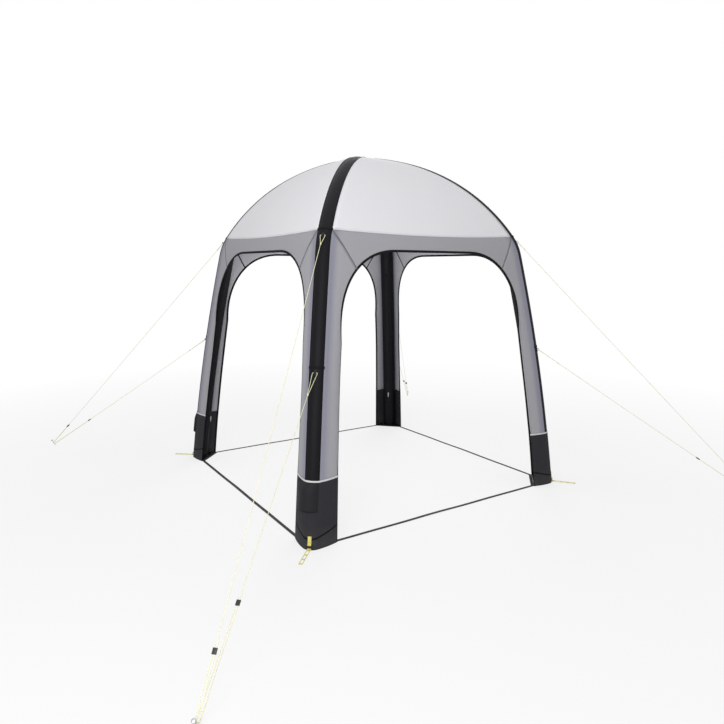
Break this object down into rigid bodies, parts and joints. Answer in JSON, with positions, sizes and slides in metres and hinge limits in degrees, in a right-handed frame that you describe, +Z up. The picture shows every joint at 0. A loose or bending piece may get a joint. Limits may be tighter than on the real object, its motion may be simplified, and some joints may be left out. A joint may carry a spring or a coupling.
{
  "type": "inflatable shelter",
  "caption": "Domed cloth shelter held up by crossing inflated air beams, with an arch opening on each side, dark boots at the feet and guy lines to pegs.",
  "frame": {"origin": "middle of the footprint on the ground", "axes": "+Z up; the legs stand on the diagonals, front leg at -X -Y, right leg at +X -Y, back leg at +X +Y, left leg at -X +Y"},
  "size_m": [4.56, 4.56, 2.6892],
  "materials": {
    "black_sleeve": "matt coated polyester",
    "roof_cloth": "matt coated polyester",
    "side_cloth": "matt coated polyester",
    "boot_cloth": "heavy coated polyester",
    "yellow_webbing": "woven webbing",
    "guy_cord": "braided cord",
    "dark_webbing": "woven webbing",
    "black_plastic": "moulded, satin",
    "galvanised_steel": "galvanised",
    "grey_zip_pull": "moulded, satin"
  },
  "bodies": {
    "shelter": {"air_beam_front_back": "black_sleeve", "air_beam_left_right": "black_sleeve", "beam_band_front": "black_sleeve", "beam_band_right": "black_sleeve", "beam_band_back": "black_sleeve", "beam_band_left": "black_sleeve", "crown_patch": "black_sleeve", "roof_panel_front_right": "roof_cloth", "roof_panel_back_right": "roof_cloth", "roof_panel_back_left": "roof_cloth", "roof_panel_front_left": "roof_cloth", "side_panel_front_right": "side_cloth", "side_panel_back_right": "side_cloth", "side_panel_back_left": "side_cloth", "side_panel_front_left": "side_cloth", "boot_front": "boot_cloth", "boot_right": "boot_cloth", "boot_back": "boot_cloth", "boot_left": "boot_cloth", "valve_body_front": "black_plastic", "valve_body_left": "black_plastic", "foot_ring_front": "black_plastic", "foot_ring_right": "black_plastic", "foot_ring_back": "black_plastic", "foot_ring_left": "black_plastic", "ground_strap": "dark_webbing", "guy_line_front_upper": "guy_cord", "guy_line_front_lower": "guy_cord", "guy_line_right_upper": "guy_cord", "guy_line_right_lower": "guy_cord", "guy_line_back_upper": "guy_cord", "guy_line_back_lower": "guy_cord", "guy_line_left_upper": "guy_cord", "guy_line_left_lower": "guy_cord", "peg_front": "galvanised_steel", "peg_right": "galvanised_steel", "peg_back": "galvanised_steel", "peg_left": "galvanised_steel"},
    "flap_front": {"valve_flap_front": "boot_cloth"},
    "flap_left": {"valve_flap_left": "boot_cloth"},
    "cap_front": {"valve_cap_front": "black_plastic"},
    "cap_left": {"valve_cap_left": "black_plastic"},
    "slider_front": {"zip_slider_front": "grey_zip_pull"},
    "slider_right": {"zip_slider_right": "grey_zip_pull"},
    "slider_back": {"zip_slider_back": "grey_zip_pull"},
    "slider_left": {"zip_slider_left": "grey_zip_pull"},
    "ladder_front": {"peg_ladder_front": "yellow_webbing"},
    "ladder_right": {"peg_ladder_right": "yellow_webbing"},
    "ladder_back": {"peg_ladder_back": "yellow_webbing"},
    "ladder_left": {"peg_ladder_left": "yellow_webbing"},
    "runner_front_upper": {"guy_runner_front_upper": "black_plastic"},
    "runner_front_lower": {"guy_runner_front_lower": "black_plastic"},
    "runner_right_upper": {"guy_runner_right_upper": "black_plastic"},
    "runner_right_lower": {"guy_runner_right_lower": "black_plastic"},
    "runner_back_upper": {"guy_runner_back_upper": "black_plastic"},
    "runner_back_lower": {"guy_runner_back_lower": "black_plastic"},
    "runner_left_upper": {"guy_runner_left_upper": "black_plastic"},
    "runner_left_lower": {"guy_runner_left_lower": "black_plastic"}
  },
  "joints": [
    {"name": "flap_front_lift", "type": "hinge", "parent": "shelter", "child": "flap_front", "pos_m": [-1.1438, -1.1061, 0.43078], "axis": [-0.3624, 0.932, -0.0045], "range_deg": [0, 110]},
    {"name": "flap_left_lift", "type": "hinge", "parent": "shelter", "child": "flap_left", "pos_m": [-1.1061, 1.1438, 0.43078], "axis": [0.932, 0.3624, -0.0045], "range_deg": [0, 110]},
    {"name": "cap_front_turn", "type": "hinge", "parent": "shelter", "child": "cap_front", "pos_m": [-1.16399, -1.1036, 0.32992], "axis": [-0.9754, -0.1897, 0.1125], "range_deg": [0, 90]},
    {"name": "cap_left_turn", "type": "hinge", "parent": "shelter", "child": "cap_left", "pos_m": [-1.1036, 1.16399, 0.32992], "axis": [-0.1897, 0.9754, 0.1125], "range_deg": [0, 90]},
    {"name": "zip_front_slide", "type": "slide", "parent": "shelter", "child": "slider_front", "axis": [0.1054, 0.1054, 0.9888], "range_m": [0, 0.3]},
    {"name": "zip_right_slide", "type": "slide", "parent": "shelter", "child": "slider_right", "axis": [-0.1054, 0.1054, 0.9888], "range_m": [0, 0.3]},
    {"name": "zip_back_slide", "type": "slide", "parent": "shelter", "child": "slider_back", "axis": [-0.1054, -0.1054, 0.9888], "range_m": [0, 0.3]},
    {"name": "zip_left_slide", "type": "slide", "parent": "shelter", "child": "slider_left", "axis": [0.1054, -0.1054, 0.9888], "range_m": [0, 0.3]},
    {"name": "ladder_front_swing", "type": "hinge", "parent": "shelter", "child": "ladder_front", "pos_m": [-1.16949, -1.16949, 0.0095], "axis": [-0.7071, 0.7071, 0], "range_deg": [0, 84]},
    {"name": "ladder_right_swing", "type": "hinge", "parent": "shelter", "child": "ladder_right", "pos_m": [1.16949, -1.16949, 0.0095], "axis": [-0.7071, -0.7071, 0], "range_deg": [0, 84]},
    {"name": "ladder_back_swing", "type": "hinge", "parent": "shelter", "child": "ladder_back", "pos_m": [1.16949, 1.16949, 0.0095], "axis": [0.7071, -0.7071, 0], "range_deg": [0, 84]},
    {"name": "ladder_left_swing", "type": "hinge", "parent": "shelter", "child": "ladder_left", "pos_m": [-1.16949, 1.16949, 0.0095], "axis": [0.7071, 0.7071, 0], "range_deg": [0, 84]},
    {"name": "runner_front_upper_slide", "type": "slide", "parent": "shelter", "child": "runner_front_upper", "axis": [-0.4936, -0.4936, -0.7161], "range_m": [0, 0.1]},
    {"name": "runner_front_lower_slide", "type": "slide", "parent": "shelter", "child": "runner_front_lower", "axis": [-0.5926, -0.5926, -0.5456], "range_m": [0, 0.2]},
    {"name": "runner_right_upper_slide", "type": "slide", "parent": "shelter", "child": "runner_right_upper", "axis": [0.4936, -0.4936, -0.7161], "range_m": [0, 0.1]},
    {"name": "runner_right_lower_slide", "type": "slide", "parent": "shelter", "child": "runner_right_lower", "axis": [0.5926, -0.5926, -0.5456], "range_m": [0, 0.2]},
    {"name": "runner_back_upper_slide", "type": "slide", "parent": "shelter", "child": "runner_back_upper", "axis": [0.4936, 0.4936, -0.7161], "range_m": [0, 0.1]},
    {"name": "runner_back_lower_slide", "type": "slide", "parent": "shelter", "child": "runner_back_lower", "axis": [0.5926, 0.5926, -0.5456], "range_m": [0, 0.2]},
    {"name": "runner_left_upper_slide", "type": "slide", "parent": "shelter", "child": "runner_left_upper", "axis": [-0.4936, 0.4936, -0.7161], "range_m": [0, 0.1]},
    {"name": "runner_left_lower_slide", "type": "slide", "parent": "shelter", "child": "runner_left_lower", "axis": [-0.5926, 0.5926, -0.5456], "range_m": [0, 0.2]}
  ]
}
